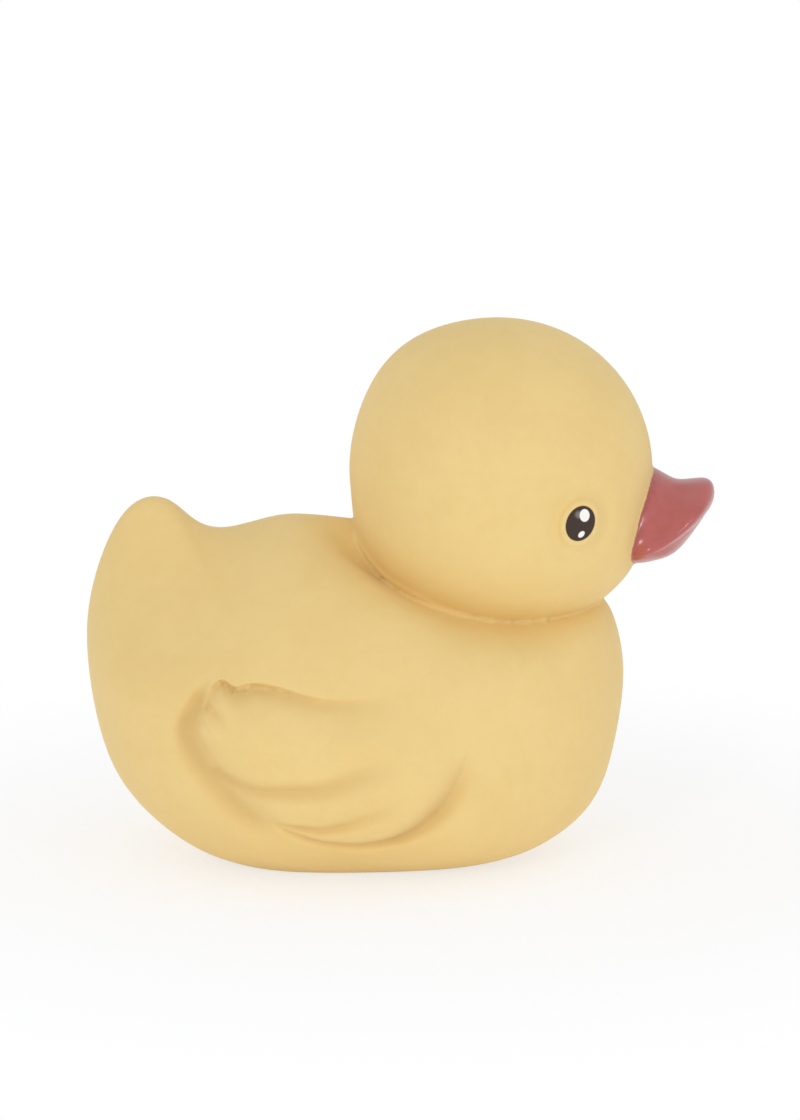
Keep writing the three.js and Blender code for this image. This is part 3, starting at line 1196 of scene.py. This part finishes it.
class Shader:
    """The nodes that make the look of a material or of the world."""

    def __init__(self, owner: bpy.types.Material | bpy.types.World) -> None:
        """Starts with an output alone.

        Args:
            owner: The material or world.
        """
        owner.use_nodes = True
        self.owner = owner
        self.tree = owner.node_tree
        self.tree.nodes.clear()
        world = isinstance(owner, bpy.types.World)
        self.output = self.node("ShaderNodeOutputWorld" if world else "ShaderNodeOutputMaterial")

    def node(
        self, kind: str, inputs: dict[Any, Any] | None = None, **settings: Any
    ) -> bpy.types.Node:
        """Adds a node.

        Args:
            kind: The node's type.
            inputs: The value or link of each socket, by name or number.
            settings: The node's settings, which are set first.

        Returns:
            The node.
        """
        node = self.tree.nodes.new(kind)
        for name, value in settings.items():
            setattr(node, name, value)
        for key, value in (inputs or {}).items():
            source = value.socket if isinstance(value, Term) else value
            if isinstance(source, bpy.types.NodeSocket):
                self.tree.links.new(source, node.inputs[key])
            else:
                node.inputs[key].default_value = source
        return node

    def show(self, look: bpy.types.NodeSocket) -> None:
        """Links the finished look to the output."""
        self.tree.links.new(look, self.output.inputs["Surface"])

    def layered(self, share: Any, first: Any, second: Any) -> bpy.types.NodeSocket:
        """Mixes two looks, of which the second shows as much as the share says."""
        return self.node("ShaderNodeMixShader", {0: share, 1: first, 2: second}).outputs[0]

    def place(self) -> bpy.types.NodeSocket:
        """Gives the object's own coordinates."""
        return self.node("ShaderNodeTexCoord").outputs["Object"]

    def mark(self, name: str) -> Term:
        """Reads a number that the mesh keeps for every vertex."""
        return Term(self, self.node("ShaderNodeAttribute", attribute_name=name).outputs["Fac"])

    def noise(self, place: bpy.types.NodeSocket, size: float, detail: float) -> Term:
        """Adds cloudy noise of about 0.5, with clouds of a size in millimetres."""
        inputs = {"Vector": place, "Scale": 1 / (size * MM), "Detail": detail, "Roughness": 0.55}
        return Term(self, self.node("ShaderNodeTexNoise", inputs).outputs[0])

    def stretched(self, place: bpy.types.NodeSocket, scale: tuple) -> bpy.types.NodeSocket:
        """Stretches coordinates, so that a pattern runs in one direction."""
        return self.node("ShaderNodeMapping", {"Vector": place, "Scale": scale}).outputs[0]

    def mixed(self, share: Term | float, first: Any, second: Any) -> bpy.types.NodeSocket:
        """Mixes two colours, of which the second shows as much as the share says."""
        inputs = {0: share, 6: first, 7: second}
        return self.node("ShaderNodeMix", inputs, data_type="RGBA").outputs[2]


def colour(red: int, green: int, blue: int) -> tuple[float, float, float, float]:
    """Turns a screen colour into the light that it stands for.

    Args:
        red: Its red, from 0 to 255.
        green: Its green.
        blue: Its blue.

    Returns:
        The colour as a shader takes it.
    """
    parts = [value / 255 for value in (red, green, blue)]
    linear = [c / 12.92 if c <= 0.04045 else ((c + 0.055) / 1.055) ** 2.4 for c in parts]
    return (*linear, 1.0)


@dataclass(frozen=True)
class DuckFinish:
    """Powdery natural rubber with satin paint on the bill, gloss paint on the eyes, painted shade
    in the grooves and a painted shine in each eye.
    """

    eye: EyeForm
    bare: tuple = colour(239, 210, 143)
    deep: tuple = colour(236, 206, 138)
    # Painted shade: the colour that the grooves and the neck crease are darkened toward.
    painted_shade_colour: tuple = colour(196, 150, 82)
    bill: tuple = colour(186, 92, 87)
    bill_dark: tuple = colour(164, 74, 72)
    iris: tuple = colour(58, 40, 31)
    # glow is a painted reflection: the pale colour of the shine coloured into each eye.
    glow: tuple = colour(126, 116, 110)
    dot: tuple = colour(250, 248, 244)
    sheen: tuple = colour(255, 240, 205)
    big_dot: tuple[float, float] = (0.72, 1.38)
    big_dot_radii: tuple[float, float] = (0.86, 1.08)
    small_dot: tuple[float, float] = (0.2, -1.86)
    small_dot_radii: tuple[float, float] = (0.66, 0.42)
    diagonal: float = 0.707
    # Where the painted shine, a painted reflection, sits in each eye.
    painted_shine: tuple[float, float] = (-0.3, 1.5)
    oval_edge: tuple[float, float] = (0.94, 1.06)
    facing_start: tuple[float, float] = (12.0, 14.0)

    def eye_masks(self, shader: Shader, place: bpy.types.NodeSocket) -> tuple[Term, Term, Term]:
        """Draws the painted oval of both eyes, its two light dots and a painted shine: a pale
        patch that stands in for a reflection.

        Args:
            shader: The material.
            place: The object's coordinates.

        Returns:
            Where the oval shows, where the dots do, and where the painted shine does.
        """
        eye = self.eye
        parts = shader.node("ShaderNodeSeparateXYZ", {"Vector": place}).outputs
        x, y, z = [Term(shader, part) * (1 / MM) for part in parts]
        outward = abs(y)
        right = x - float(eye.centre[0])
        up = (outward - float(eye.centre[1])) * eye.up[0] + (z - float(eye.centre[2])) * eye.up[1]
        tall, wide = [right * across + up * rising for across, rising in eye.counts]
        facing = outward.rise(*self.facing_start)
        oval = (1 - (tall**2 + wide**2).rise(*self.oval_edge)) * facing
        from_big = [right - self.big_dot[0], up - self.big_dot[1]]
        big = sum((gap * (1 / r)) ** 2 for gap, r in zip(from_big, self.big_dot_radii))
        aside, above = right - self.small_dot[0], up - self.small_dot[1]
        from_small = [(aside + above) * self.diagonal, (above - aside) * self.diagonal]
        small = sum((gap * (1 / r)) ** 2 for gap, r in zip(from_small, self.small_dot_radii))
        dots = (1 - big.rise(0.82, 1.2)) + (1 - small.rise(0.75, 1.3))
        from_painted_shine = (right - self.painted_shine[0]) ** 2 + (up - self.painted_shine[1]) ** 2
        painted_shine = 1 - from_painted_shine.rise(0, 1)
        return oval, dots * facing, painted_shine * painted_shine

    def make(self) -> bpy.types.Material:
        """Makes the material.

        Returns:
            The material.
        """
        shader = Shader(bpy.data.materials.new("duck_rubber"))
        place = shader.place()
        clouds = shader.noise(place, size=14, detail=2)
        mottle = shader.noise(place, size=2.2, detail=3)
        powder = shader.noise(place, size=0.32, detail=2)
        streaks = shader.noise(shader.stretched(place, (1, 1, 14)), size=16, detail=2)
        tone = clouds * 0.6 + mottle * 0.3 + streaks * 0.1
        rubber = shader.mixed(tone.rise(0.36, 0.64), self.deep, self.bare)
        # Painted shade: the grooves and the neck crease are darkened in colour, standing in for
        # the shade that falls there.
        painted_recess_shade = shader.mark("painted_recess_shade")
        rubber = shader.mixed(painted_recess_shade * 0.45, rubber, self.painted_shade_colour)
        paint_depth = shader.mark("bill_paint")
        wobble = shader.noise(place, size=1.6, detail=2)
        painted = (paint_depth + (wobble - 0.5) * 0.3).rise(-0.1, 0.1)
        # The bill's colour is darker near the edge of its paint, where it meets the head, and
        # lighter further out.
        lighter_off_root = (paint_depth + wobble * 2.0).rise(0.4, 2.4)
        bill = shader.mixed(lighter_off_root, self.bill_dark, self.bill)
        bill = shader.mixed(mottle.rise(0.35, 0.7) * 0.25, bill, self.bill_dark)
        oval, dots, painted_shine = self.eye_masks(shader, place)
        base = shader.mixed(painted, rubber, bill)
        # Painted reflection: a pale patch in each eye, coloured in with glow.
        base = shader.mixed(oval, base, shader.mixed(painted_shine, self.iris, self.glow))
        base = shader.mixed(dots, base, self.dot)
        coated = painted + oval * (1 - painted)
        height = powder * (1 - coated * 0.8) + mottle * 0.6 + streaks * 0.2
        bump = shader.node(
            "ShaderNodeBump", {"Strength": 0.35, "Distance": 0.05 * MM, "Height": height}
        )
        bare = shader.node("ShaderNodeBsdfPrincipled", {
            "Base Color": base,
            "Roughness": 0.62 + mottle * 0.12,
            "Normal": bump.outputs[0],
            "Subsurface Weight": 0.12,
            "Subsurface Radius": (1.0, 0.55, 0.2),
            "Subsurface Scale": 1.5 * MM,
            "Sheen Weight": 0.18,
            "Sheen Roughness": 0.45,
            "Sheen Tint": self.sheen,
            "Specular IOR Level": 0.3,
        })
        paint = shader.node("ShaderNodeBsdfPrincipled", {
            "Base Color": base,
            "Roughness": 0.36 + mottle * 0.08 - oval * 0.2,
            "Normal": bump.outputs[0],
            "Coat Weight": painted * 0.8 + oval * 0.3,
            "Coat Roughness": 0.2,
            "Coat IOR": 1.7,
            "Specular IOR Level": 0.12,
        })
        shader.show(shader.layered(coated, bare.outputs[0], paint.outputs[0]))
        return shader.owner


@dataclass
class Studio:
    """The white table, the soft light and the camera."""

    aim: tuple[float, float, float] = (0.0, 0.0, 0.0525)
    camera_distance: float = 0.9
    camera_elevation: float = 12.0
    lens: float = 164.0
    sensor: float = 36.0
    sky: float = 0.735
    key_place: tuple[float, float, float] = (-0.5, -1.35, 0.6)
    key_size: float = 0.3
    key_power: float = 3.1
    fill_place: tuple[float, float, float] = (1.15, -1.09, 0.3)
    fill_size: float = 0.25
    fill_power: float = 2.3
    floor_reach: float = 4.0
    floor_drop: float = 0.02 * MM
    floor_lift: float = 0.65
    floor_shade: tuple[float, float, float] = (0.39, 0.397, 0.41)
    floor_fade: tuple[float, float] = (0.065, 0.15)
    unseen_lift: float = 0.19
    unseen_shade: tuple[float, float, float] = (0.9, 0.9, 0.9)

    def camera(self) -> None:
        """Stands the camera where the photograph was taken from."""
        tilt = math.radians(self.camera_elevation)
        back = Vector((0, -math.cos(tilt), math.sin(tilt)))
        data = bpy.data.cameras.new("camera")
        data.lens = self.lens
        data.sensor_width = self.sensor
        data.clip_start = 0.01
        camera = bpy.data.objects.new("camera", data)
        camera.location = Vector(self.aim) + back * self.camera_distance
        camera.rotation_euler = back.to_track_quat("Z", "Y").to_euler()
        bpy.context.scene.collection.objects.link(camera)
        bpy.context.scene.camera = camera

    def lamp(self, name: str, place: tuple, size: float, power: float) -> None:
        """Hangs a square soft lamp that looks at the duck.

        Args:
            name: The lamp's name.
            place: Where it hangs, in metres.
            size: Its side, in metres.
            power: Its power, in watts.
        """
        data = bpy.data.lights.new(name, "AREA")
        data.size = size
        data.energy = power
        lamp = bpy.data.objects.new(name, data)
        lamp.location = place
        toward = Vector(place) - Vector(self.aim)
        lamp.rotation_euler = toward.to_track_quat("Z", "Y").to_euler()
        bpy.context.scene.collection.objects.link(lamp)

    def sky_light(self) -> None:
        """Lights the scene from all round, and shows white behind it."""
        world = bpy.data.worlds.new("studio")
        bpy.context.scene.world = world
        shader = Shader(world)
        path = shader.node("ShaderNodeLightPath").outputs
        rays = {0: path["Is Camera Ray"], 1: path["Is Transmission Ray"]}
        seen = shader.node("ShaderNodeMath", rays, operation="ADD", use_clamp=True)
        sky, white = [
            shader.node("ShaderNodeBackground", {"Color": (1, 1, 1, 1), "Strength": strength})
            for strength in (self.sky, 1)
        ]
        shader.show(shader.layered(seen.outputs[0], sky.outputs[0], white.outputs[0]))

    @staticmethod
    def floor_look(shader: Shader, shade: tuple, lift: float) -> bpy.types.NodeSocket:
        """Makes a matt white that also glows.

        Args:
            shader: The table's material.
            shade: How much light it throws back.
            lift: How strongly it glows.

        Returns:
            The look.
        """
        matt = shader.node("ShaderNodeBsdfDiffuse", {"Color": (*shade, 1)})
        glow = shader.node("ShaderNodeEmission", {"Strength": lift})
        looks = {0: matt.outputs[0], 1: glow.outputs[0]}
        return shader.node("ShaderNodeAddShader", looks).outputs[0]

    def table(self) -> None:
        """Lays a white table that fades into plain white away from the duck."""
        mesh = bmesh.new()
        bmesh.ops.create_grid(mesh, x_segments=1, y_segments=1, size=self.floor_reach)
        bmesh.ops.translate(mesh, verts=mesh.verts, vec=(0, 0, -self.floor_drop))
        floor = Duck.keep(mesh, "table")
        shader = Shader(bpy.data.materials.new("table_white"))
        away = shader.node("ShaderNodeVectorMath", {0: shader.place()}, operation="LENGTH")
        far = Term(shader, away.outputs["Value"]).rise(*self.floor_fade)
        seen = Term(shader, shader.node("ShaderNodeLightPath").outputs["Is Camera Ray"])
        unseen = self.floor_look(shader, self.unseen_shade, self.unseen_lift)
        shown = self.floor_look(shader, self.floor_shade, self.floor_lift)
        white = shader.node("ShaderNodeEmission", {"Strength": 1.0}).outputs[0]
        shader.show(shader.layered(far * seen, shader.layered(seen, unseen, shown), white))
        floor.data.materials.append(shader.owner)

    def build(self) -> None:
        """Sets up the whole studio."""
        self.camera()
        self.sky_light()
        self.lamp("key", self.key_place, self.key_size, self.key_power)
        self.lamp("fill", self.fill_place, self.fill_size, self.fill_power)
        self.table()
        bpy.context.scene.view_settings.view_transform = "Standard"


def main() -> None:
    """Builds the duck over its frame, and then the studio."""
    logging.basicConfig(level=logging.INFO, format="%(name)s: %(message)s")
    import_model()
    duck = Duck(rump_x=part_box(NODE)[0].x / MM)
    piece = duck.build()
    piece.data.materials.append(DuckFinish(duck.eye).make())
    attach(piece, BODY)
    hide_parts(NODE)
    triangles = sum(len(face.vertices) - 2 for face in piece.data.polygons)
    log.info("%s: %d triangles", piece.name, triangles)
    Studio().build()


if __name__ == "__main__":
    main()
